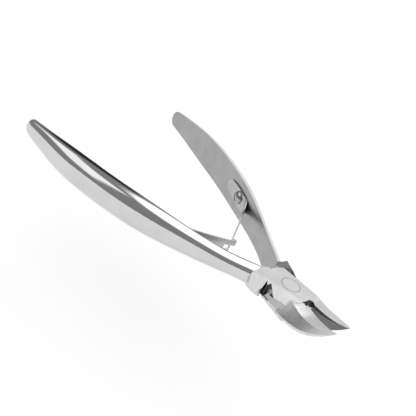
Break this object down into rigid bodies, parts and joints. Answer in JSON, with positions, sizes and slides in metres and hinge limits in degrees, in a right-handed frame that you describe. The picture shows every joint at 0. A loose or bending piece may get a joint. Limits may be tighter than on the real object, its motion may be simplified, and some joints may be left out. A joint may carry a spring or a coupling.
{
  "type": "nail nipper",
  "caption": "Plier-type nail nipper with crossed steel levers, pointed hollow-ground jaws, long bowed handles and interlocking leaf springs.",
  "frame": {"origin": "on the pivot axis at the back face of the lap joint, where the rivet is flush", "axes": "+X towards the jaw tips, +Y towards the back lever's handle, +Z along the pivot axis out of the front face"},
  "size_m": [0.1183, 0.0714, 0.0126],
  "materials": {
    "polished_steel": "mirror-polished outer handles, satin-ground head and inner faces",
    "rivet_steel": "ground flush with the head",
    "spring_steel": "satin spring steel",
    "screw_steel": "polished domed head"
  },
  "bodies": {
    "front_body": {"front_lever": "polished_steel", "pivot_rivet": "rivet_steel", "front_leaf_screw": "screw_steel"},
    "back_body": {"back_lever": "polished_steel", "back_leaf_screw": "screw_steel"},
    "front_leaf_body": {"front_leaf": "spring_steel"},
    "back_leaf_body": {"back_leaf": "spring_steel"}
  },
  "joints": [
    {"name": "pivot", "type": "hinge", "parent": "front_body", "child": "back_body", "pos_m": [0, 0, 0.004], "axis": [0, 0, 1], "range_deg": [0, 16], "stiffness_Nm_per_rad": 0.5, "springref_deg": -4.58},
    {"name": "front_leaf_flex", "type": "hinge", "parent": "front_body", "child": "front_leaf_body", "pos_m": [-0.041, -0.0222, 0.004], "axis": [0, 0, 1], "range_deg": [-8.5, 0.5], "deforming": ["front_leaf"]},
    {"name": "back_leaf_flex", "type": "hinge", "parent": "back_body", "child": "back_leaf_body", "pos_m": [-0.041, 0.0222, 0.004], "axis": [0, 0, 1], "range_deg": [-0.5, 8.5], "deforming": ["back_leaf"]}
  ],
  "couplings": [
    {"joint": "front_leaf_flex", "follows": "pivot", "ratio": -0.5},
    {"joint": "back_leaf_flex", "follows": "pivot", "ratio": 0.5}
  ]
}
